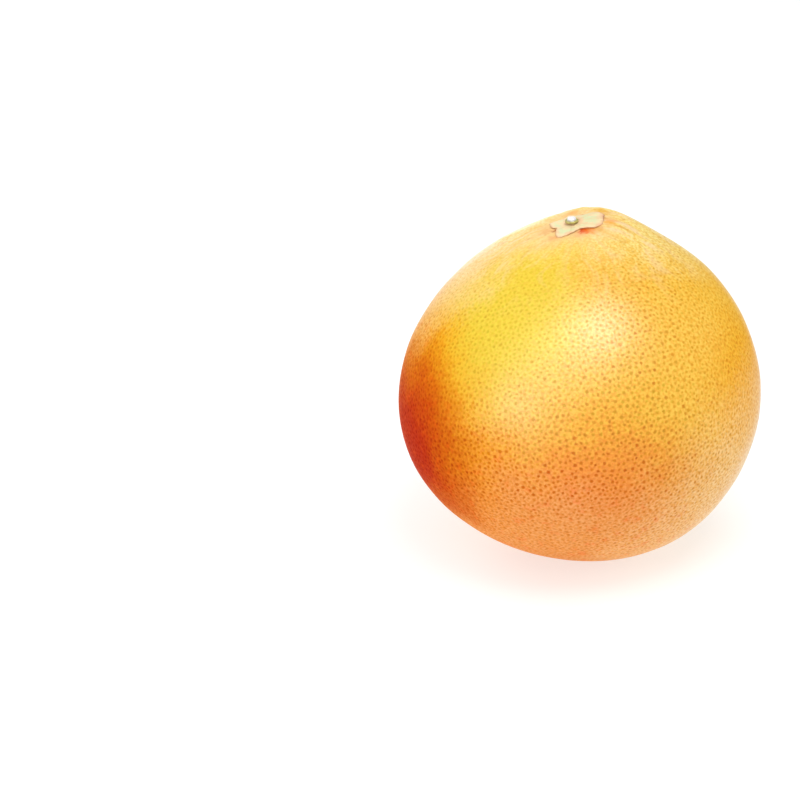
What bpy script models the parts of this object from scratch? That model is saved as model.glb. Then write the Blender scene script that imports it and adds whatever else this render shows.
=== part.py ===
"""A whole grapefruit as picked: the fruit, the dry calyx on its stem end, and the cut stub of its stem.

Metres, +Z up. The fruit rests on a small flat spot at z = 0, with its bounding box centred on the Z axis.
"""

import math

import bmesh
import bpy
from mathutils import Matrix, Vector

# The fruit, whose radius changes with direction. Its stem end leans a little towards -X and -Y. The SIDE
# values swell one flank low down, draw the other in, and make the shoulders slightly oval.
MEAN_RADIUS = 0.05637
LEAN_TO_SIDE = math.radians(2.5)
LEAN_TO_FRONT = math.radians(2.9)
END_FLATTENING = 0.00203
STEM_TAPER = 0.00034
SHOULDER_FULLNESS = 0.00059
SIDE_SWELL = 0.00141
SIDE_DRAW = 0.00093
SIDE_OVAL = 0.00114

# The low crown at the stem end, behind the stem's axis, and the dimple that holds the calyx.
CROWN_HEIGHT = 0.00427
CROWN_SPREAD = 0.2775
CROWN_CENTRE = Vector((0.117, 0.113, 1.0)).normalized()
DIMPLE_DEPTH = 0.0018
DIMPLE_SPREAD = 0.15

# How deep the flat spot that the fruit rests on is pressed.
RESTING_DEPTH = 0.0012

# The calyx: five dry lobes round the stem, each an azimuth (degrees), a reach (metres) and a half width
# (degrees), with notches between them.
LOBES = (
    (349, 0.0093, 50),
    (36, 0.0072, 30),
    (105, 0.0058, 38),
    (183, 0.0066, 36),
    (247, 0.0086, 36),
)
LOBE_ROUNDNESS = 0.7
NOTCH_RADIUS = 0.0048
CALYX_THICKNESS = 0.0006
PIECE_GAP = 0.00035

# The stub of stem, cut off short.
STUB_BASE_RADIUS = 0.0025
STUB_TOP_RADIUS = 0.0018
STUB_HEIGHT = 0.0011
STUB_RIM_BEVEL = 0.0003

# How finely each surface is divided, and the angle past which an edge is shaded as a corner.
FRUIT_SEGMENTS = 72
FRUIT_RINGS = 40
RING_CROWDING = 1.3
CALYX_SPOKES = 60
CALYX_RINGS = 6
STUB_SIDES = 32
STUB_RIM_STEPS = 3
SHARP_EDGE_ANGLE = math.radians(12)


def clear_scene():
    for item in list(bpy.data.objects):
        bpy.data.objects.remove(item)


def add_object(name, bm, material):
    """Turn a bmesh into a smooth-shaded object of its own."""
    mesh = bpy.data.meshes.new(name)
    bmesh.ops.recalc_face_normals(bm, faces=bm.faces)
    bm.to_mesh(mesh)
    bm.free()
    mesh.shade_smooth()
    mesh.set_sharp_from_angle(angle=SHARP_EDGE_ANGLE)
    mesh.materials.append(material)
    item = bpy.data.objects.new(name, mesh)
    bpy.context.scene.collection.objects.link(item)
    return item


def make_material(name, colour, roughness):
    material = bpy.data.materials.new(name)
    material.use_nodes = True
    shader = material.node_tree.nodes["Principled BSDF"]
    shader.inputs["Base Color"].default_value = (*colour, 1.0)
    shader.inputs["Roughness"].default_value = roughness
    shader.inputs["Metallic"].default_value = 0.0
    return material


def rind_radius(direction):
    """Distance from the fruit's middle to its skin, for a unit direction in which +Z is the stem's axis."""
    x, y, c = direction
    polar = math.acos(max(-1.0, min(1.0, c)))
    radius = MEAN_RADIUS
    radius -= END_FLATTENING * (3 * c**2 - 1) / 2
    radius += STEM_TAPER * (5 * c**3 - 3 * c) / 2
    radius += SHOULDER_FULLNESS * (35 * c**4 - 30 * c**2 + 3) / 8
    radius += SIDE_SWELL * x * (5 * c**2 - 1) / 2
    radius -= SIDE_DRAW * x * (7 * c**3 - 3 * c) / 2
    radius -= SIDE_OVAL * c * (x**2 - y**2)
    radius += CROWN_HEIGHT * math.exp(-((direction.angle(CROWN_CENTRE) / CROWN_SPREAD) ** 2))
    radius -= DIMPLE_DEPTH * math.exp(-((polar / DIMPLE_SPREAD) ** 2))
    return radius


def polar_direction(polar, azimuth):
    """Unit direction at an angle from the stem's axis, turned by an azimuth from +X."""
    return Vector((
        math.sin(polar) * math.cos(azimuth),
        math.sin(polar) * math.sin(azimuth),
        math.cos(polar),
    ))


def skin_point(polar, azimuth, height=0.0):
    """A point on the skin, or at a height above it, before the fruit is leaned and set down."""
    direction = polar_direction(polar, azimuth)
    return direction * (rind_radius(direction) + height)


def shape_fruit():
    """A globe whose rings crowd towards the stem end, drawn out to the skin."""
    bm = bmesh.new()
    bmesh.ops.create_uvsphere(bm, u_segments=FRUIT_SEGMENTS, v_segments=FRUIT_RINGS, radius=1.0)
    for vert in bm.verts:
        polar = math.acos(max(-1.0, min(1.0, vert.co.z)))
        azimuth = math.atan2(vert.co.y, vert.co.x)
        polar = math.pi * (polar / math.pi) ** RING_CROWDING
        vert.co = skin_point(polar, azimuth)
    return bm


def calyx_reach(azimuth):
    """How far the calyx reaches from the stem at an azimuth: round lobes with notches between them."""
    reach = NOTCH_RADIUS
    for centre, length, half_width in LOBES:
        away = (math.degrees(azimuth) - centre + 180) % 360 - 180
        share = min(1.0, abs(away) / half_width)
        reach = max(reach, NOTCH_RADIUS + (length - NOTCH_RADIUS) * (1 - share**2) ** LOBE_ROUNDNESS)
    return reach


def shape_calyx():
    """A star-shaped sheet that lies just clear of the skin; a Solidify modifier gives it thickness."""
    bm = bmesh.new()
    middle = bm.verts.new(skin_point(0.0, 0.0, PIECE_GAP))
    inner = None
    for ring in range(1, CALYX_RINGS + 1):
        outer = []
        for spoke in range(CALYX_SPOKES):
            azimuth = 2 * math.pi * spoke / CALYX_SPOKES
            reach = calyx_reach(azimuth) * ring / CALYX_RINGS
            outer.append(bm.verts.new(skin_point(reach / MEAN_RADIUS, azimuth, PIECE_GAP)))
        for spoke in range(CALYX_SPOKES):
            after = (spoke + 1) % CALYX_SPOKES
            if inner is None:
                bm.faces.new((middle, outer[spoke], outer[after]))
            else:
                bm.faces.new((inner[spoke], outer[spoke], outer[after], inner[after]))
        inner = outer
    return bm


def shape_stub():
    """A short tapering peg with a rounded rim, standing on the calyx."""
    bm = bmesh.new()
    bmesh.ops.create_cone(
        bm, cap_ends=True, segments=STUB_SIDES,
        radius1=STUB_BASE_RADIUS, radius2=STUB_TOP_RADIUS, depth=STUB_HEIGHT,
    )
    rim = [edge for edge in bm.edges if all(vert.co.z > 0 for vert in edge.verts)]
    bmesh.ops.bevel(
        bm, geom=rim, offset=STUB_RIM_BEVEL, segments=STUB_RIM_STEPS, profile=0.5, affect="EDGES",
    )
    under_rim = [
        skin_point(STUB_BASE_RADIUS / MEAN_RADIUS, 2 * math.pi * side / STUB_SIDES).z
        for side in range(STUB_SIDES)
    ]
    base = max(under_rim) + 2 * PIECE_GAP + CALYX_THICKNESS
    bmesh.ops.translate(bm, verts=bm.verts, vec=(0, 0, base + STUB_HEIGHT / 2))
    return bm


def press_resting_spot(bm):
    """Cut the fruit's lowest cap off flat, and close it with one level face."""
    level = min(vert.co.z for vert in bm.verts) + RESTING_DEPTH
    cut = bmesh.ops.bisect_plane(
        bm, geom=bm.verts[:] + bm.edges[:] + bm.faces[:], dist=1e-6,
        plane_co=(0, 0, level), plane_no=(0, 0, 1), clear_inner=True,
    )
    rim = [item for item in cut["geom_cut"] if isinstance(item, bmesh.types.BMEdge)]
    bmesh.ops.edgeloop_fill(bm, edges=rim)


def box_base_centre(bm):
    """Middle of the lowest side of the mesh's bounding box."""
    low = Vector(min(vert.co[axis] for vert in bm.verts) for axis in range(3))
    high = Vector(max(vert.co[axis] for vert in bm.verts) for axis in range(3))
    return Vector(((low.x + high.x) / 2, (low.y + high.y) / 2, low.z))


def build_grapefruit():
    lean = Matrix.Rotation(LEAN_TO_FRONT, 4, "X") @ Matrix.Rotation(-LEAN_TO_SIDE, 4, "Y")
    fruit, calyx, stub = shape_fruit(), shape_calyx(), shape_stub()
    for bm in (fruit, calyx, stub):
        bm.transform(lean)
    press_resting_spot(fruit)
    set_down = Matrix.Translation(-box_base_centre(fruit))
    for bm in (fruit, calyx, stub):
        bm.transform(set_down)

    add_object("fruit", fruit, make_material("rind", (0.95, 0.47, 0.10), 0.38))
    leaf = add_object("calyx", calyx, make_material("dry_calyx", (0.80, 0.68, 0.42), 0.70))
    thickness = leaf.modifiers.new("thickness", "SOLIDIFY")
    thickness.thickness = CALYX_THICKNESS
    thickness.offset = 1.0
    add_object("stem_stub", stub, make_material("stem_wood", (0.62, 0.60, 0.25), 0.55))


clear_scene()
build_grapefruit()
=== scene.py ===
"""The looks of a whole grapefruit: its pitted peel, its dry calyx and the cut stub of its stem.

Metres, +Z up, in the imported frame. The shape is given as shares of the fruit's mean radius, and the frame's
boxes say how large it is and where it stands.
"""

import math

import bmesh
import bpy
import numpy as np
from mathutils import Matrix, Vector, kdtree, noise


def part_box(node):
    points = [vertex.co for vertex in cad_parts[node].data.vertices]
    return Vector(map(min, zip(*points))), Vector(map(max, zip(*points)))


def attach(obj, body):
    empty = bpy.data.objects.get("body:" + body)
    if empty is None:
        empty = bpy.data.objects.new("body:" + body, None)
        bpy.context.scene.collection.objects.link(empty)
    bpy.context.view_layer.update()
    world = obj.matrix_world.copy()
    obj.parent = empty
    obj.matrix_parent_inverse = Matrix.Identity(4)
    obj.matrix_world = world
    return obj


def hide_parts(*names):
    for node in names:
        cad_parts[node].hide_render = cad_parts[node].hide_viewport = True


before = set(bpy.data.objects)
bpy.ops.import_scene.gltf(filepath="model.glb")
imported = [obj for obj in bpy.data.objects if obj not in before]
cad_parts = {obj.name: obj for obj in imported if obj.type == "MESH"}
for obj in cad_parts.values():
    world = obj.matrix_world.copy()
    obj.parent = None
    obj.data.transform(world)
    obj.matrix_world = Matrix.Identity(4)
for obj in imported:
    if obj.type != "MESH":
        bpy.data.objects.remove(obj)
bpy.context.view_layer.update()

# The fruit's shape, in shares of its mean radius, as the frame's fruit has it.
END_FLATTENING = 0.0360
STEM_TAPER = 0.0060
SHOULDER_FULLNESS = 0.0105
SIDE_SWELL = 0.0250
SIDE_DRAW = 0.0165
SIDE_OVAL = 0.0202
CROWN_HEIGHT = 0.0757
CROWN_SPREAD = 0.2775
CROWN_CENTRE = np.array((0.117, 0.113, 1.0)) / math.hypot(0.117, 0.113, 1.0)
DIMPLE_DEPTH = 0.0319
DIMPLE_SPREAD = 0.15
LEAN = Matrix.Rotation(math.radians(2.9), 3, "X") @ Matrix.Rotation(math.radians(-2.5), 3, "Y")

# Oil glands, in metres: a few large ones first, then small ones between them.
GLAND_SEED = 11
GLAND_TRIES = 110000
LARGE_GLAND_SPACING = 0.0021
GLAND_SPACING = 0.00126

# The peel's relief, in metres: slow waves, small waves on them, and furrows that leave the stem.
SLOW_WAVE = 0.00030
SLOW_WAVE_LENGTH = 0.030
SMALL_WAVE = 0.00010
SMALL_WAVE_LENGTH = 0.010
FURROW = 0.00036
# Radians from the stem between which the furrows set in, and between which they run out.
FURROWS_START = (0.07, 0.17)
FURROWS_END = (0.34, 0.85)
# How closely furrows and streaks stand round the stem, how fast they change on their way out, how far they
# bend, in radians, and the length of a bend, in metres.
LINES_ROUND = 3.2
LINES_OUT = 2.2
LINE_BEND = 0.22
LINE_BEND_LENGTH = 0.011

# Degrees from the stem between which a feature comes or goes.
GLANDS_DEEPEN = (14, 44)
CROWN_FADES = (8, 22)
UNDERSIDE_STARTS = (90, 112)
# How deep and dark the glands beside the stem are, as a share of the others.
FAINTEST_GLAND = 0.25
# How much fainter the glands' stains are in the palest sides and on the underside.
FAINTER_WHERE_PALE = 0.45
FAINTER_BELOW = 0.36


def share_between(value, low, high):
    """0 below low, 1 above high, and a smooth rise between them."""
    share = np.clip((value - low) / (high - low), 0.0, 1.0)
    return share * share * (3 - 2 * share)


def unit(vectors):
    return vectors / np.linalg.norm(vectors, axis=-1, keepdims=True)


def wander(points, wavelength, seed=0):
    """Smooth noise from -1 to 1 at points, with bumps about a wavelength apart, other ones for each seed."""
    offset = np.array((7.3, 3.1, 5.7)) * (seed + 1)
    return np.array([noise.noise(point) for point in (points / wavelength + offset).tolist()])


# The surface of the fruit


def radius_shares(directions):
    """Distance from the fruit's middle to its skin for unit directions, in which +Z is the stem's axis."""
    x, y, c = directions.T
    share = 1.0 - END_FLATTENING * (3 * c**2 - 1) / 2
    share += STEM_TAPER * (5 * c**3 - 3 * c) / 2
    share += SHOULDER_FULLNESS * (35 * c**4 - 30 * c**2 + 3) / 8
    share += SIDE_SWELL * x * (5 * c**2 - 1) / 2
    share -= SIDE_DRAW * x * (7 * c**3 - 3 * c) / 2
    share -= SIDE_OVAL * c * (x**2 - y**2)
    from_crown = np.arccos(np.clip(directions @ CROWN_CENTRE, -1, 1))
    share += CROWN_HEIGHT * np.exp(-((from_crown / CROWN_SPREAD) ** 2))
    from_stem = np.arccos(np.clip(c, -1, 1))
    return share - DIMPLE_DEPTH * np.exp(-((from_stem / DIMPLE_SPREAD) ** 2))


def around_stem(azimuth, from_stem):
    """Unit directions at azimuths round the stem's axis and angles from it, in radians."""
    azimuth, from_stem = np.broadcast_arrays(np.atleast_1d(azimuth), from_stem)
    flat = np.sin(from_stem)
    return np.stack((flat * np.cos(azimuth), flat * np.sin(azimuth), np.cos(from_stem)), -1)


class Skin:
    """The fruit's outer surface at the size and place of the frame's fruit."""

    # Height in metres over which the skin bends from the flat spot into the side.
    SETTLING = 0.00018

    def __init__(self, low, high, directions):
        bare = self.leaned(directions * radius_shares(directions)[:, None])
        least, most = bare.min(axis=0), bare.max(axis=0)
        self.scale = (high.x - low.x) / (most[0] - least[0])
        self.shift = np.array((
            (low.x + high.x) / 2 - self.scale * (least[0] + most[0]) / 2,
            (low.y + high.y) / 2 - self.scale * (least[1] + most[1]) / 2,
            high.z - self.scale * most[2],
        ))
        self.floor = low.z

    @staticmethod
    def leaned(points):
        return points @ np.array(LEAN).T

    def at(self, directions, heights=0.0):
        """Points on the skin, or at heights above it, pressed flat where the fruit rests."""
        reach = radius_shares(directions) * self.scale + heights
        points = self.leaned(directions * reach[:, None]) + self.shift
        above = (points[:, 2] - self.floor) / self.SETTLING
        points[:, 2] = self.floor + self.SETTLING * np.logaddexp(0.0, above)
        return points


# Glands and the net of faces round them


def spaced_apart(points, spacing, first=()):
    """Indices of points of which no two are nearer than spacing. Those in first come before the others."""
    tree = kdtree.KDTree(len(points))
    for index, point in enumerate(points):
        tree.insert(point, index)
    tree.balance()
    free = np.ones(len(points), bool)
    kept = []
    for index in [*first, *range(len(points))]:
        if free[index]:
            kept.append(index)
            for _, near, _ in tree.find_range(points[index], spacing):
                free[near] = False
    return kept


def hull_triangles(points):
    """The triangles that join points on a sphere to their neighbours, wound to face outwards."""
    bm = bmesh.new()
    for point in points:
        bm.verts.new(point)
    bmesh.ops.convex_hull(bm, input=bm.verts)
    bm.verts.index_update()
    bmesh.ops.triangulate(bm, faces=bm.faces)
    triangles = np.array([[vert.index for vert in face.verts] for face in bm.faces])
    bm.free()
    a, b, c = (points[triangles[:, corner]] for corner in range(3))
    inward = np.einsum("ij,ij->i", np.cross(b - a, c - a), a) < 0
    triangles[inward] = triangles[inward][:, ::-1]
    return triangles


class GlandNet:
    """Faces over the fruit: glands, each a sunken middle in a ring of corners, and flat skin between them."""

    # Radius of the ring and depth of the middle in metres, for the largest and the smallest glands.
    RING_LARGE = 0.00098
    RING_SMALL = 0.00070
    DEPTH_LARGE = 0.00016
    DEPTH_SMALL = 0.00007
    # The largest share of the way to the next gland that a ring may take.
    RING_MOST = 0.475
    # Glands' sizes from 0, the smallest, to 1, the largest: the first ones, then those strewn between them.
    LARGE_SIZES = (0.7, 1.0)
    SMALL_SIZES = (0.0, 0.75)

    def __init__(self, mean_radius):
        rng = np.random.default_rng(GLAND_SEED)
        tries = unit(rng.normal(size=(GLAND_TRIES, 3)))
        large = spaced_apart(tries[: GLAND_TRIES // 4], LARGE_GLAND_SPACING / mean_radius)
        kept = spaced_apart(tries, GLAND_SPACING / mean_radius, large)
        self.middles = tries[kept]
        count = len(kept)
        large_sizes = rng.uniform(*self.LARGE_SIZES, count)
        small_sizes = rng.uniform(*self.SMALL_SIZES, count)
        size = np.where(np.arange(count) < len(large), large_sizes, small_sizes)
        triangles = hull_triangles(self.middles)

        start = triangles.ravel()
        end = np.roll(triangles, -1, axis=1).ravel()
        order = np.argsort(start * count + end)
        keys = (start * count + end)[order]
        ring_radius = (self.RING_SMALL + (self.RING_LARGE - self.RING_SMALL) * size) / mean_radius
        step = self.middles[end] - self.middles[start]
        along = np.minimum(ring_radius[start] / np.linalg.norm(step, axis=1), self.RING_MOST)
        rings = unit(self.middles[start] + step * along[:, None])
        self.directions = np.vstack((self.middles, rings))

        def ring_corner(near, far):
            return count + order[np.searchsorted(keys, near * count + far)]

        a, b, c = triangles.T
        loop = [ring_corner(*pair) for pair in ((a, b), (b, a), (b, c), (c, b), (c, a), (a, c))]
        corners = ((a, loop[0], loop[5]), (b, loop[2], loop[1]), (c, loop[4], loop[3]))
        between = ((0, 1, 2), (2, 3, 4), (4, 5, 0), (0, 2, 4))
        faces = [np.stack(corner, 1) for corner in corners]
        faces += [np.stack([loop[corner] for corner in face], 1) for face in between]
        self.faces = np.vstack(faces)

        redness = rng.uniform(0, 1, count) ** 3
        darkness = 0.25 + 0.4 * size + 0.35 * rng.uniform(0, 1, count)
        self.pit = np.concatenate((np.ones(count), np.zeros(len(rings))))
        self.size = np.concatenate((size, size[start]))
        self.redness = np.concatenate((redness, redness[start]))
        self.darkness = np.concatenate((darkness, darkness[start]))
        self.heights = -self.pit * (self.DEPTH_SMALL + (self.DEPTH_LARGE - self.DEPTH_SMALL) * self.size)


def stem_lines(directions, mean_radius):
    """Places in which lines that leave the stem run along the third axis, bent a little as they go."""
    from_stem = np.arccos(np.clip(directions[:, 2], -1, 1))
    azimuth = np.arctan2(directions[:, 1], directions[:, 0])
    bent = azimuth + LINE_BEND * wander(directions * mean_radius, LINE_BEND_LENGTH, seed=2)
    return np.stack((np.cos(bent) * LINES_ROUND, np.sin(bent) * LINES_ROUND, from_stem * LINES_OUT), 1)


def relief(directions, mean_radius, lines):
    """Heights of the peel's waves and furrows in metres, the furrows alone, and where they are strong."""
    on_ball = directions * mean_radius
    waves = SLOW_WAVE * wander(on_ball, SLOW_WAVE_LENGTH)
    waves += SMALL_WAVE * wander(on_ball, SMALL_WAVE_LENGTH, seed=1)
    from_stem = np.arccos(np.clip(directions[:, 2], -1, 1))
    furrows = wander(lines, 1.0, seed=3) + 0.5 * wander(lines, 0.45, seed=4)
    near_stem = share_between(from_stem, *FURROWS_START) * (1 - share_between(from_stem, *FURROWS_END))
    return waves + FURROW * near_stem * furrows, furrows * near_stem, near_stem


def new_piece(name, points, faces, finish):
    mesh = bpy.data.meshes.new(name)
    mesh.from_pydata(points.tolist(), [], faces.tolist() if isinstance(faces, np.ndarray) else faces)
    mesh.update()
    mesh.shade_smooth()
    mesh.materials.append(finish)
    piece = bpy.data.objects.new(name, mesh)
    bpy.context.scene.collection.objects.link(piece)
    return piece


def add_values(piece, name, values):
    layer = piece.data.attributes.new(name, "FLOAT", "POINT")
    layer.data.foreach_set("value", np.asarray(values, np.float32))


def add_places(piece, name, places):
    layer = piece.data.attributes.new(name, "FLOAT_VECTOR", "POINT")
    layer.data.foreach_set("vector", places.astype(np.float32).ravel())


def add_box_map(piece, directions):
    """Lay the faces out on six tiles, one for each side of a box round the fruit, as a map for baking."""
    mesh = piece.data
    corners = np.empty(len(mesh.loops), np.int32)
    mesh.loops.foreach_get("vertex_index", corners)
    corners = corners.reshape(-1, 3)
    middle = directions[corners].mean(axis=1)
    axis = np.abs(middle).argmax(axis=1)
    positive = np.take_along_axis(middle, axis[:, None], 1)[:, 0] > 0
    spot = directions[corners]
    rows = np.arange(len(corners))[:, None]
    depth = np.abs(spot[rows, np.arange(3), axis[:, None]])
    across = spot[rows, np.arange(3), ((axis + 1) % 3)[:, None]]
    along = spot[rows, np.arange(3), ((axis + 2) % 3)[:, None]]
    tile = axis + 3 * positive
    turn = np.where(positive, 1.0, -1.0)[:, None]
    u = turn * np.arctan2(across, depth) / (math.pi / 4)
    v = np.arctan2(along, depth) / (math.pi / 4)
    margin = 0.93
    u = ((tile % 3)[:, None] + 0.5 + 0.5 * margin * u) / 3
    v = ((tile // 3)[:, None] + 0.5 + 0.5 * margin * v) / 2
    layer = mesh.uv_layers.new(name="OFBake")
    layer.uv.foreach_set("vector", np.stack((u, v), -1).astype(np.float32).ravel())


# The peel's colours: first the one all over it, then washes over that, each strongest on one side of the
# fruit. A wash has the way to that side from the fruit's middle, the degrees from it within which the wash is
# full and beyond which it is gone, its strength, and its colour as screen values. The washes on the left side
# are partly painted shade, and the pale ones on the upper left and lower right are partly a painted sheen.
GROUND = (234, 184, 54)
WASHES = {
    "sunny side": ((-0.53, -0.50, 0.68), 14, 43, 1.0, (227, 199, 50)),
    "gold flank": ((0.89, -0.18, 0.42), 1, 71, 0.92, (243, 200, 80)),
    "amber patch": ((0.91, -0.37, 0.16), 0, 31, 0.9, (240, 179, 34)),
    # Orange on the left side, partly painted shade.
    "orange flank and painted shade": ((-0.93, -0.18, -0.33), 36, 70, 1.0, (235, 160, 0)),
    "ruddy front": ((0.02, -0.74, -0.67), 0, 64, 0.93, (236, 133, 18)),
    "ruddy patch": ((0.09, -0.98, -0.14), 0, 20, 0.36, (232, 118, 32)),
    "salmon foot": ((-0.10, -0.70, -0.71), 9, 49, 0.88, (236, 168, 103)),
    # Pale peach on the lower right, partly a painted sheen at the rim.
    "peach flank and painted sheen": ((0.80, -0.25, -0.54), 0, 59, 0.85, (250, 217, 167)),
    # Pale cream on the upper left, partly the peel's paler colour, partly a painted sheen at the rim.
    "pale shoulder and painted sheen": ((-0.66, 0.18, 0.74), 2, 42, 0.85, (242, 208, 144)),
    # Red on the left side, partly the peel's own red, partly painted shade.
    "red cheek and painted shade": ((-0.90, -0.41, -0.12), 0, 38, 0.93, (197, 52, 0)),
    # Deeper red in the middle of it, partly painted shade.
    "blush and painted shade": ((-0.89, -0.43, -0.16), 0, 18, 0.60, (186, 36, 0)),
    "crown": ((0.16, 0.24, 0.96), 10, 47, 1.0, (246, 227, 148)),
}
# How far the edges of the spots stray, and how large the rags in them are, in metres.
SPOT_RAGGEDNESS = 0.0044
SPOT_RAG_SIZE = 0.0016
# Spots in the peel by the calyx: azimuth in degrees and distance from the stem in metres, then reach in
# metres, strength and colour. Most are reddened peel; the one at 304 degrees is partly painted shade under
# the front notch, and those at 203 and 330 degrees are painted shadow under the calyx's edges.
SORE_SPOTS_AND_SHADOWS = (
    (304, 0.0062, 0.0026, 1.0, (206, 56, 0)),
    (316, 0.0078, 0.0032, 0.6, (236, 128, 40)),
    (291, 0.0078, 0.0028, 0.35, (244, 150, 100)),
    (229, 0.0090, 0.0026, 0.35, (236, 130, 70)),
    (203, 0.0060, 0.0018, 0.9, (176, 84, 36)),
    (190, 0.0084, 0.0034, 0.45, (228, 158, 88)),
    (330, 0.0092, 0.0018, 0.3, (222, 150, 60)),
    (357, 0.0114, 0.0032, 0.6, (242, 150, 50)),
    (90, 0.0066, 0.0032, 0.5, (242, 150, 70)),
    (34, 0.0108, 0.0036, 0.7, (226, 166, 40)),
)


# Finishes


def tint(red, green, blue):
    """A colour from screen values of 0 to 255, as the linear RGBA that a shader takes."""
    return tuple(((value / 255 + 0.055) / 1.055) ** 2.4 for value in (red, green, blue)) + (1.0,)


class Field:
    """A value that changes over a surface. It wraps a node's output, and sums with it add Math nodes."""

    def __init__(self, finish, socket):
        self.finish = finish
        self.socket = socket

    def _math(self, operation, first, second):
        return self.finish.node("ShaderNodeMath", {"operation": operation}, {0: first, 1: second})

    def __add__(self, other):
        return self._math("ADD", self, other)

    def __sub__(self, other):
        return self._math("SUBTRACT", self, other)

    def __mul__(self, other):
        return self._math("MULTIPLY", self, other)

    def __rsub__(self, other):
        return self._math("SUBTRACT", other, self)

    __radd__ = __add__
    __rmul__ = __mul__

    def size(self):
        return self._math("ABSOLUTE", self, 0.0)

    def rising(self, low, high):
        """0 below low, 1 above high, and a smooth rise between them."""
        return self.finish.node(
            "ShaderNodeMapRange", {"interpolation_type": "SMOOTHSTEP"}, {0: self, 1: low, 2: high}
        )


class Finish:
    """A material under construction round one Principled shader."""

    def __init__(self, name):
        self.material = bpy.data.materials.new(name)
        self.material.use_nodes = True
        self.tree = self.material.node_tree
        self.shader = self.tree.nodes["Principled BSDF"]

    def node(self, kind, settings, sockets, output=0):
        """Add a node, apply its settings, fill or link its sockets, and return one output as a Field."""
        node = self.tree.nodes.new(kind)
        for key, value in settings.items():
            setattr(node, key, value)
        for key, value in sockets.items():
            self.fill(node.inputs[key], value)
        return Field(self, node.outputs[output])

    def fill(self, socket, value):
        if isinstance(value, Field):
            self.tree.links.new(value.socket, socket)
        else:
            socket.default_value = value

    def vector(self, operation, sockets, output=0):
        """Add a Vector Math node."""
        return self.node("ShaderNodeVectorMath", {"operation": operation}, sockets, output)

    def cells(self, size):
        """Distance to the nearest of points strewn about size metres apart, in shares of that size."""
        return self.node("ShaderNodeTexVoronoi", {}, {"Vector": self.place(), "Scale": 1 / size}, "Distance")

    def distance(self, point):
        """Distance in metres from a point in the frame."""
        return self.vector("DISTANCE", {0: self.place(), 1: tuple(point)}, "Value")

    def give(self, **sockets):
        """Fill the shader's own sockets, named with _ for a space."""
        for name, value in sockets.items():
            self.fill(self.shader.inputs[name.replace("_", " ")], value)

    def place(self):
        return self.node("ShaderNodeTexCoord", {}, {}, "Object")

    def values(self, name):
        return self.node("ShaderNodeAttribute", {"attribute_name": name}, {}, "Fac")

    def places(self, name):
        return self.node("ShaderNodeAttribute", {"attribute_name": name}, {}, "Vector")

    def shaken(self, places, size, reach):
        """Places moved about, by up to half of reach each way, by noise with features about size across."""
        sockets = {"Vector": self.place(), "Scale": 1 / size, "Detail": 2.0}
        noisy = self.node("ShaderNodeTexNoise", {}, sockets, "Color")
        centred = self.vector("SUBTRACT", {0: noisy, 1: (0.5, 0.5, 0.5)})
        return self.vector("MULTIPLY_ADD", {0: centred, 1: (reach,) * 3, 2: places})

    def way_from(self, middle, places):
        """Unit directions to places from a middle."""
        apart = self.vector("SUBTRACT", {0: places, 1: tuple(middle)})
        return self.vector("NORMALIZE", {0: apart})

    def towards(self, way, aim, full, gone):
        """1 where a way is within full degrees of an aim, 0 where it is beyond gone degrees."""
        along = self.vector("DOT_PRODUCT", {0: way, 1: tuple(Vector(aim).normalized())}, "Value")
        return along.rising(math.cos(math.radians(gone)), math.cos(math.radians(full)))

    def grain(self, size, detail=2.0, places=None):
        """Noise from 0 to 1 with features about size across, in metres unless places are given."""
        sockets = {"Vector": places or self.place(), "Scale": 1 / size, "Detail": detail}
        return self.node("ShaderNodeTexNoise", {}, sockets, "Fac")

    def blend(self, first, second, share):
        """One colour blended into another."""
        return self.node("ShaderNodeMix", {"data_type": "RGBA"}, {0: share, 6: first, 7: second}, 2)

    def darken(self, colour, by, share):
        """One colour multiplied by another."""
        settings = {"data_type": "RGBA", "blend_type": "MULTIPLY"}
        return self.node("ShaderNodeMix", settings, {0: share, 6: colour, 7: by}, 2)

    def bump(self, height, distance):
        """The normal of a surface with heights from 0 to 1 on it, in which 1 stands for distance metres."""
        return self.node("ShaderNodeBump", {}, {"Height": height, "Distance": distance, "Strength": 1.0})


# Heights of the fine grain in the finishes, in metres.
PEEL_GRAIN = 0.00009
CALYX_GRAIN = 0.00008
STUB_GRAIN = 0.00004

# Gloss of the peel's wax, and of its sheen at the rim.
WAX = 0.4
SHEEN = 0.8

# Colours of the small features of the peel
PALE_CROWN = tint(236, 196, 138)
# The ridge colour is partly painted light on the raised ridges; the ochre of the low streaks is partly
# painted shade, and the crease colour is painted shade in the creases.
PALE_RIDGE_AND_LIGHT = tint(242, 208, 158)
OCHRE_STREAK_AND_SHADE = tint(230, 172, 40)
CREASE_SHADE = tint(226, 176, 138)
FINE_PORE = tint(226, 210, 168)
GLAND_OLIVE = tint(212, 210, 130)
GLAND_ORANGE = tint(214, 156, 58)
FLECK = tint(246, 222, 170)
RED_FLECK = tint(240, 92, 14)

# Colours of the calyx and of the stub
STRAW = tint(230, 206, 156)
STRAW_BLOT = tint(230, 188, 142)
GREENISH_LOBE = tint(206, 214, 162)
BROWNISH_RAY = tint(218, 184, 134)
WORN_EDGE = tint(214, 146, 96)
BURNT_EDGE = tint(176, 100, 50)
MOSS = tint(168, 160, 52)
DARK_MOSS = tint(124, 110, 30)
COLLAR_LIP = tint(196, 182, 110)
STUB_HEART = tint(228, 226, 228)


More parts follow.
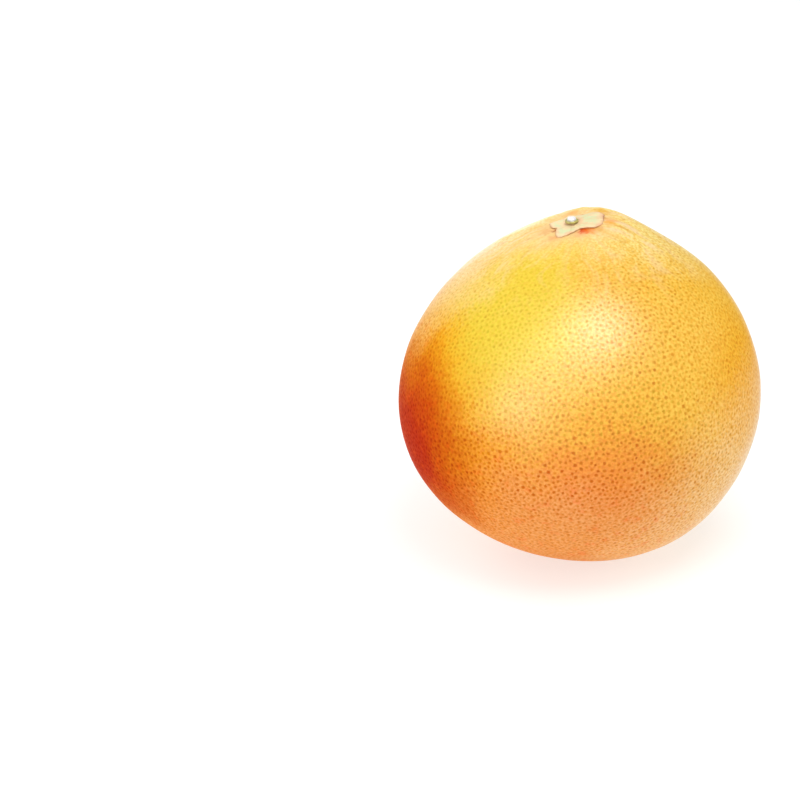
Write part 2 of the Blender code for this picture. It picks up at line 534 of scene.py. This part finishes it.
def washed_ground(finish, skin):
    """The peel's ground colour with the washes over it, and the share of each wash by name."""
    places = finish.shaken(finish.place(), 0.015, 0.016)
    way = finish.way_from(skin.shift, finish.shaken(places, 0.0014, 0.012))
    colour = tint(*GROUND)
    washes = {}
    for name, (aim, full, gone, strength, paint) in WASHES.items():
        washes[name] = finish.towards(way, aim, full, gone) * strength
        colour = finish.blend(colour, tint(*paint), washes[name])
    return colour, washes


def with_flecks(finish, colour, speckle, washes, warm):
    """Fine darker flecks all over the peel, and larger red ones in its warm colours."""
    fine = speckle.rising(0.35, 0.65) * (1.0 - washes["sunny side"] * 0.5)
    colour = finish.darken(colour, FLECK, fine)
    red = finish.grain(0.0034).rising(0.54, 0.74) * warm.rising(0.4, 1.2)
    return finish.blend(colour, RED_FLECK, red * 0.3)


def with_crown(finish, colour, streaks, creases, near_stem):
    """The pale crown round the stem, and the ridges, streaks and creases that leave it, with painted light on
    the raised ridges and painted shade in the low streaks and creases.
    """
    colour = finish.blend(colour, PALE_CROWN, finish.values("crown") * 0.8)
    # Paler on the raised streaks, partly painted light; ochre in the low ones and darker in the creases,
    # painted shade.
    colour = finish.blend(colour, PALE_RIDGE_AND_LIGHT, streaks.rising(0.50, 0.66) * near_stem * 0.8)
    colour = finish.blend(colour, OCHRE_STREAK_AND_SHADE, (1.0 - streaks).rising(0.50, 0.70) * near_stem * 0.5)
    return finish.darken(colour, CREASE_SHADE, creases * 0.42)


def with_pores(finish, colour, pit, warm):
    """Fine pores all over the peel, and the stain in each gland, olive or orange."""
    strength = finish.values("pit_strength")
    pores = 1.0 - finish.cells(0.00115).rising(0.15, 0.5)
    colour = finish.darken(colour, FINE_PORE, pores * strength * 0.5)
    orange = (warm + finish.values("redness") * 0.6).rising(0.0, 0.9)
    return finish.darken(colour, finish.blend(GLAND_OLIVE, GLAND_ORANGE, orange), pit * strength)


def with_sore_spots_and_shadows(finish, colour, skin):
    """Ragged spots by the calyx: reddened peel, and painted shadow under the calyx's edges."""
    for azimuth, out, reach, strength, paint in SORE_SPOTS_AND_SHADOWS:
        spot = skin.at(around_stem(np.radians(azimuth), out / skin.scale))[0]
        rags = finish.grain(SPOT_RAG_SIZE, 3.0) * SPOT_RAGGEDNESS
        ragged = finish.distance(spot) + rags - SPOT_RAGGEDNESS / 2
        # Some spots are reddened peel, two are painted shadow under the calyx, and one is both.
        spot_share = 1.0 - ragged.rising(0.2 * reach, reach)
        colour = finish.blend(colour, tint(*paint), spot_share * strength)
    return colour


def peel_gloss(finish, washes, pit, warm):
    """Wax that is thin in the pits and at the rim, and a pale sheen at the rim."""
    rim = finish.node("ShaderNodeLayerWeight", {}, {"Blend": 0.5}, "Facing")
    # Less wax on the left side, where shade is painted into the colour.
    dull = (1.0 - washes["orange flank and painted shade"] * 0.6) * (1.0 - washes["red cheek and painted shade"] * 0.95)
    wax = WAX * dull * (1.0 - rim.rising(0.10, 0.60) * 0.9)
    worn = pit * (0.48 + warm.rising(0.1, 1.1) * 0.46)
    pale = washes["peach flank and painted sheen"] + washes["pale shoulder and painted sheen"]
    sheen = (rim.rising(0.60, 0.84) * pale + rim.rising(0.78, 0.95)) * dull * SHEEN
    sheen = sheen * (1.0 - washes["salmon foot"]) * (1.0 - washes["ruddy front"] * 0.5)
    return wax * (1.0 - worn) + sheen


def peel_finish(skin):
    """Pitted peel, golden with red and peach sides, with a soft gloss of wax on it. The red side is partly
    painted shade, the peach side partly a painted sheen.
    """
    finish = Finish("peel")
    speckle = finish.grain(0.0008)
    pit = finish.values("pit").rising(0.0, 0.7)
    near_stem = finish.values("near_stem")
    lines = finish.places("stem_lines")
    streaks = finish.grain(0.38, 2.0, lines)
    creases = 1.0 - (finish.grain(0.62, 1.0, lines) - 0.5).size().rising(0.0, 0.035)
    creases = creases * near_stem * finish.grain(0.006).rising(0.42, 0.58)

    colour, washes = washed_ground(finish, skin)
    warm = washes["ruddy front"] + washes["orange flank and painted shade"] + washes["salmon foot"] + washes["gold flank"] * 0.6
    colour = with_flecks(finish, colour, speckle, washes, warm)
    colour = with_crown(finish, colour, streaks, creases, near_stem)
    colour = with_pores(finish, colour, pit, warm)
    colour = with_sore_spots_and_shadows(finish, colour, skin)
    rough = finish.grain(0.0007) + finish.grain(0.0022) * 0.8 + streaks * near_stem - creases * 0.6
    finish.give(
        Base_Color=colour,
        Roughness=0.52 + speckle * 0.15 + pit * 0.1,
        Normal=finish.bump(rough, PEEL_GRAIN),
        Specular_IOR_Level=0.02,
        Coat_Weight=peel_gloss(finish, washes, pit, warm),
        Coat_IOR=1.8,
        Coat_Roughness=0.44,
    )
    return finish.material


def calyx_finish():
    """Dry straw colour with greenish lobes, faint rays, and a worn edge that is burnt in places."""
    finish = Finish("dry calyx")
    edge = finish.values("edge")
    rays = finish.values("rays")
    blot = finish.grain(0.0035)
    colour = finish.blend(STRAW, STRAW_BLOT, blot.rising(0.48, 0.66))
    green = finish.values("out").rising(0.0026, 0.0044) * (1.0 - edge.rising(0.66, 0.92))
    colour = finish.blend(colour, GREENISH_LOBE, green * finish.grain(0.0028).rising(0.30, 0.55) * 0.9)
    colour = finish.blend(colour, BROWNISH_RAY, rays.rising(0.05, 0.35) * 0.35)
    worn = (edge + finish.grain(0.0016) * 0.2 - 0.10).rising(0.90, 1.0)
    colour = finish.blend(colour, WORN_EDGE, worn * 0.5)
    burnt = (edge + finish.grain(0.0034) * 0.4 - 0.20).rising(0.99, 1.06)
    colour = finish.blend(colour, BURNT_EDGE, burnt * 0.7)
    rough = finish.grain(0.0005, 3.0) + rays * 0.5
    finish.give(
        Base_Color=colour,
        Roughness=0.6 + blot * 0.2,
        Normal=finish.bump(rough, CALYX_GRAIN),
    )
    return finish.material


def stub_finish():
    """A mossy green collar round a pale, smooth heart."""
    finish = Finish("stem stub")
    out = finish.values("out") + finish.grain(0.0008) * 0.0002
    collar = finish.blend(MOSS, DARK_MOSS, finish.grain(0.0012).rising(0.35, 0.65))
    collar = finish.blend(collar, COLLAR_LIP, out.rising(0.0020, 0.0023) * 0.6)
    heart = 1.0 - out.rising(0.00146, 0.00164)
    finish.give(
        Base_Color=finish.blend(collar, STUB_HEART, heart),
        Roughness=0.5 - heart * 0.28,
        Normal=finish.bump(finish.grain(0.0004), STUB_GRAIN),
    )
    return finish.material


def floor_finish():
    """A pale table that glows, so that it shows as white without strong lamps."""
    finish = Finish("pale floor")
    finish.give(
        Base_Color=(FLOOR_GREY, FLOOR_GREY, FLOOR_GREY, 1.0),
        Roughness=0.9,
        Emission_Color=(1.0, 1.0, 1.0, 1.0),
        Emission_Strength=FLOOR_GLOW,
    )
    return finish.material


# Pieces


def make_peel():
    """The whole outside of the fruit as one closed skin with its glands in it."""
    low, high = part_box("fruit")
    mean_radius = (high - low).x / 2
    net = GlandNet(mean_radius)
    skin = Skin(low, high, net.directions)
    lines = stem_lines(net.directions, mean_radius)
    heights, furrows, near_stem = relief(net.directions, mean_radius, lines)
    from_stem = np.degrees(np.arccos(np.clip(net.directions[:, 2], -1, 1)))
    calm = FAINTEST_GLAND + (1 - FAINTEST_GLAND) * share_between(from_stem, *GLANDS_DEEPEN)
    points = skin.at(net.directions, heights + net.heights * calm)
    peel = new_piece("peel", points, net.faces, peel_finish(skin))

    wave = wander(net.directions * mean_radius, SLOW_WAVE_LENGTH, seed=5)
    azimuth = np.arctan2(net.directions[:, 1], net.directions[:, 0])
    drawn_out = 1.2 - 0.15 * np.cos(2 * azimuth) + 0.08 * np.cos(azimuth)
    add_values(peel, "crown", 1 - share_between(from_stem * drawn_out + 5 * furrows + 3 * wave, *CROWN_FADES))
    two_sided = 0.5 + 0.35 * np.cos(2 * azimuth) + 0.15 * np.cos(azimuth)
    add_values(peel, "near_stem", near_stem * two_sided)
    add_places(peel, "stem_lines", lines)
    add_values(peel, "pit", net.pit)
    paler = np.zeros(len(net.directions))
    for name in ("sunny side", "gold flank"):
        towards = Skin.leaned(net.directions) @ unit(np.array(WASHES[name][0]))
        paler = np.maximum(paler, share_between(towards, 0.5, 1.0))
    underside = share_between(from_stem, *UNDERSIDE_STARTS)
    stain = (1 - FAINTER_WHERE_PALE * paler) * (1 - FAINTER_BELOW * underside)
    add_values(peel, "pit_strength", net.darkness * stain * calm)
    add_values(peel, "redness", net.redness)
    add_box_map(peel, net.directions)
    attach(peel, "root")
    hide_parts("fruit")
    return skin


# Corners of the calyx's outline: azimuth in degrees and distance from the stem in metres.
CALYX_CORNERS = (
    (4, 0.0092), (16, 0.0100), (31, 0.0084), (44, 0.0054), (74, 0.0046), (100, 0.0058),
    (126, 0.0050), (148, 0.0066), (162, 0.0073), (180, 0.0067), (201, 0.0051), (227, 0.0076),
    (240, 0.0086), (250, 0.0079), (268, 0.0062), (302, 0.0048), (324, 0.0080), (340, 0.0096),
)
CALYX_SPOKES = 300
CALYX_RINGS = 28
# In metres: how far the calyx stands off the skin, how much higher its lobes curl, and how thick it is in
# the middle and how much thinner at its edge.
CALYX_GAP = 0.0001
CALYX_CURL = 0.00034
CALYX_THICKNESS = 0.00045
CALYX_THINNING = 0.0003
# Heights of its small lumps and of its rays, in metres.
CALYX_LUMP = 0.00009
CALYX_RAY = 0.00007


def calyx_reach(azimuth):
    """How far the calyx reaches from the stem along spokes at azimuths in radians, its corners rounded."""
    reach = np.zeros(len(azimuth))
    for index, (turn, length) in enumerate(CALYX_CORNERS):
        last_turn, last_length = CALYX_CORNERS[index - 1]
        width = math.radians((turn - last_turn) % 360)
        along = (azimuth - math.radians(last_turn)) % (2 * math.pi)
        here = along <= width
        along = along[here]
        reach[here] = last_length * length * math.sin(width) / (
            last_length * np.sin(along) + length * np.sin(width - along)
        )
    return sum(np.roll(reach, step) for step in range(-3, 4)) / 7


def make_calyx(skin):
    """A thin dry sheet that follows the skin, with lobes that curl up a little at their edges."""
    spokes, rings = CALYX_SPOKES, CALYX_RINGS
    azimuth = np.linspace(0, 2 * math.pi, spokes, endpoint=False)
    circle = np.stack((np.cos(azimuth), np.sin(azimuth), np.zeros(spokes)), 1)
    ragged = 1 + 0.05 * wander(circle, 0.45, seed=7) + 0.03 * wander(circle, 0.12, seed=11)
    reach = calyx_reach(azimuth) * ragged
    share = np.linspace(0, 1, rings + 1)[1:]
    edge = np.repeat(share, spokes)
    out = (share[:, None] * reach[None, :]).ravel()
    around = np.tile(azimuth, rings)
    directions = np.vstack(((0.0, 0.0, 1.0), around_stem(around, out / skin.scale)))
    flat = np.vstack((np.zeros(3), np.stack((out * np.cos(around), out * np.sin(around), 0 * out), 1)))
    edge = np.concatenate(([0.0], edge))
    out = np.concatenate(([0.0], out))
    rays = np.concatenate(([0.0], np.tile(wander(circle, 0.16, seed=9), rings)))

    lift = CALYX_CURL * share_between(edge, 0.5, 1.0) * (0.35 + 0.9 * wander(flat, 0.005, seed=8))
    lumps = CALYX_LUMP * wander(flat, 0.0022, seed=10) + CALYX_RAY * rays * share_between(edge, 0.2, 0.6)
    rise = CALYX_GAP + lift + lumps
    thick = CALYX_THICKNESS - CALYX_THINNING * edge**3
    top = skin.at(directions, rise + thick)
    under = skin.at(directions, rise)

    count = len(directions)
    faces = []
    for spoke in range(spokes):
        after = (spoke + 1) % spokes
        faces.append((0, 1 + spoke, 1 + after))
        faces.append((count, count + 1 + after, count + 1 + spoke))
        for ring in range(rings - 1):
            inner, outer = 1 + ring * spokes, 1 + (ring + 1) * spokes
            faces.append((inner + spoke, outer + spoke, outer + after, inner + after))
            inner, outer = count + inner, count + outer
            faces.append((inner + spoke, inner + after, outer + after, outer + spoke))
        last = 1 + (rings - 1) * spokes
        faces.append((last + spoke, count + last + spoke, count + last + after, last + after))
    calyx = new_piece("calyx", np.vstack((top, under)), faces, calyx_finish())
    add_values(calyx, "edge", np.tile(edge, 2))
    add_values(calyx, "out", np.tile(out, 2))
    add_values(calyx, "rays", np.tile(rays, 2))
    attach(calyx, "root")
    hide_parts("calyx")


STUB_SIDES = 96
# Height in metres of the outline's zero above the bottom of the stub's box.
STUB_SEAT = -0.00050
# How far it strays from round, as a share of its radius, and from its outline's heights, in metres.
STUB_UNROUND = 0.07
STUB_UNEVEN = 0.00006
# The stub's outline as radius and height above the calyx, in metres, from its foot to its top.
STUB_OUTLINE = (
    (0.00208, -0.0003), (0.00216, 0.0000), (0.00214, 0.00014), (0.00204, 0.00027), (0.00186, 0.00032),
    (0.00166, 0.00028), (0.00148, 0.00020), (0.00142, 0.00032), (0.00142, 0.00056), (0.00133, 0.00080),
    (0.00114, 0.00100), (0.00088, 0.00113), (0.00058, 0.00120), (0.00028, 0.00124),
)


def make_stub():
    """A lathe-turned stub: a low green collar round a pale domed heart."""
    low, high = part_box("stem_stub")
    centre = (low + high) / 2
    sides = STUB_SIDES
    azimuth = np.linspace(0, 2 * math.pi, sides, endpoint=False)
    rings = [
        np.stack((radius * np.cos(azimuth), radius * np.sin(azimuth), np.full(sides, height)), 1)
        for radius, height in STUB_OUTLINE
    ]
    points = np.vstack((*rings, ((0, 0, STUB_OUTLINE[-1][1]),), ((0, 0, STUB_OUTLINE[0][1]),)))
    out = np.hypot(points[:, 0], points[:, 1])
    points[:, :2] *= (1 + STUB_UNROUND * wander(points, 0.002, seed=12))[:, None]
    points[:, 2] += STUB_UNEVEN * wander(points, 0.0009, seed=13)
    points = Skin.leaned(points) + np.array((centre.x, centre.y, low.z + STUB_SEAT))
    faces = []
    top, bottom = len(points) - 2, len(points) - 1
    for side in range(sides):
        after = (side + 1) % sides
        faces.append((bottom, after, side))
        for ring in range(len(STUB_OUTLINE) - 1):
            lower, upper = ring * sides, (ring + 1) * sides
            faces.append((lower + side, lower + after, upper + after, upper + side))
        last = (len(STUB_OUTLINE) - 1) * sides
        faces.append((last + side, last + after, top))
    stub = new_piece("cut_stub", points, faces, stub_finish())
    add_values(stub, "out", out)
    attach(stub, "root")
    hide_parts("stem_stub")


# Studio


VIEW_ELEVATION = math.radians(22.5)
VIEW_DISTANCE = 0.660
# How far to the left of the fruit's middle and below it the camera aims, in metres.
VIEW_ASIDE = 0.0578
VIEW_BELOW = 0.0032
LENS = 92.5
SENSOR = 36.0

FLOOR_REACH = 12.0
FLOOR_GREY = 0.45
FLOOR_GLOW = 0.61
WORLD_STRENGTH = 0.49
# Round lamps: direction from the fruit, distance and width in metres, and power in watts. Those that are
# called reflections show only in gloss.
SOFTBOXES = {
    "overhead softbox": ((0.179, -0.394, 0.902), 0.9, 0.5, 3.45),
    "side softbox": ((-0.643, -0.708, 0.293), 1.2, 0.6, 1.95),
    "front softbox": ((-0.20, -0.62, 0.76), 1.2, 0.9, 2.85),
    "back softbox": ((-0.60, 0.60, 0.52), 1.1, 0.6, 2.8),
    "low softbox": ((0.80, 0.35, 0.24), 1.1, 0.5, 1.2),
}
REFLECTIONS = {
    "overhead reflection": ((0.179, -0.42, 0.89), 0.9, 0.42, 9.8),
    "side reflection": ((-0.625, -0.745, 0.235), 1.2, 0.6, 8.5),
    "front reflection": ((-0.20, -0.66, 0.72), 1.2, 0.9, 10.4),
    "backdrop reflection": ((-0.15, 0.92, 0.36), 1.3, 1.2, 4.0),
}


def make_camera(skin):
    """A long lens that looks a little down on the fruit, which stands right of the middle of the view."""
    data = bpy.data.cameras.new("camera")
    data.lens = LENS
    data.sensor_width = SENSOR
    camera = bpy.data.objects.new("camera", data)
    bpy.context.scene.collection.objects.link(camera)
    facing = Matrix.Rotation(math.radians(90) - VIEW_ELEVATION, 4, "X")
    back = facing.to_3x3() @ Vector((0, 0, 1))
    aside = Matrix.Rotation(math.atan2(VIEW_ASIDE, VIEW_DISTANCE), 4, "Y")
    below = Matrix.Rotation(-math.atan2(VIEW_BELOW, VIEW_DISTANCE), 4, "X")
    place = Matrix.Translation(Vector(skin.shift) + back * VIEW_DISTANCE)
    camera.matrix_world = place @ facing @ aside @ below
    bpy.context.scene.camera = camera


def make_floor(height):
    """A floor that reaches far past the view on every side."""
    bm = bmesh.new()
    bmesh.ops.create_grid(bm, x_segments=1, y_segments=1, size=FLOOR_REACH)
    mesh = bpy.data.meshes.new("floor")
    bm.to_mesh(mesh)
    bm.free()
    mesh.materials.append(floor_finish())
    floor = bpy.data.objects.new("floor", mesh)
    floor.location.z = height
    bpy.context.scene.collection.objects.link(floor)


def make_lamp(name, direction, distance, width, power, target):
    """A round lamp that shines at a target and isn't seen itself."""
    data = bpy.data.lights.new(name, "AREA")
    data.shape = "DISK"
    data.size = width
    data.energy = power
    lamp = bpy.data.objects.new(name, data)
    bpy.context.scene.collection.objects.link(lamp)
    place = Vector(direction).normalized() * distance
    lamp.location = target + place
    lamp.rotation_mode = "QUATERNION"
    lamp.rotation_quaternion = (-place).to_track_quat("-Z", "Y")
    lamp.visible_camera = False
    return lamp


def make_studio():
    """White surroundings, a pale floor and soft lamps."""
    low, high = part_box("fruit")
    middle = (low + high) / 2
    make_floor(low.z)
    world = bpy.data.worlds.new("studio")
    world.use_nodes = True
    background = world.node_tree.nodes["Background"]
    background.inputs["Color"].default_value = (1.0, 1.0, 1.0, 1.0)
    background.inputs["Strength"].default_value = WORLD_STRENGTH
    bpy.context.scene.world = world
    for name, settings in SOFTBOXES.items():
        make_lamp(name, *settings, middle)
    for name, settings in REFLECTIONS.items():
        make_lamp(name, *settings, middle).visible_diffuse = False
    bpy.context.scene.view_settings.view_transform = "Standard"


peel_skin = make_peel()
make_calyx(peel_skin)
make_stub()
make_camera(peel_skin)
make_studio()
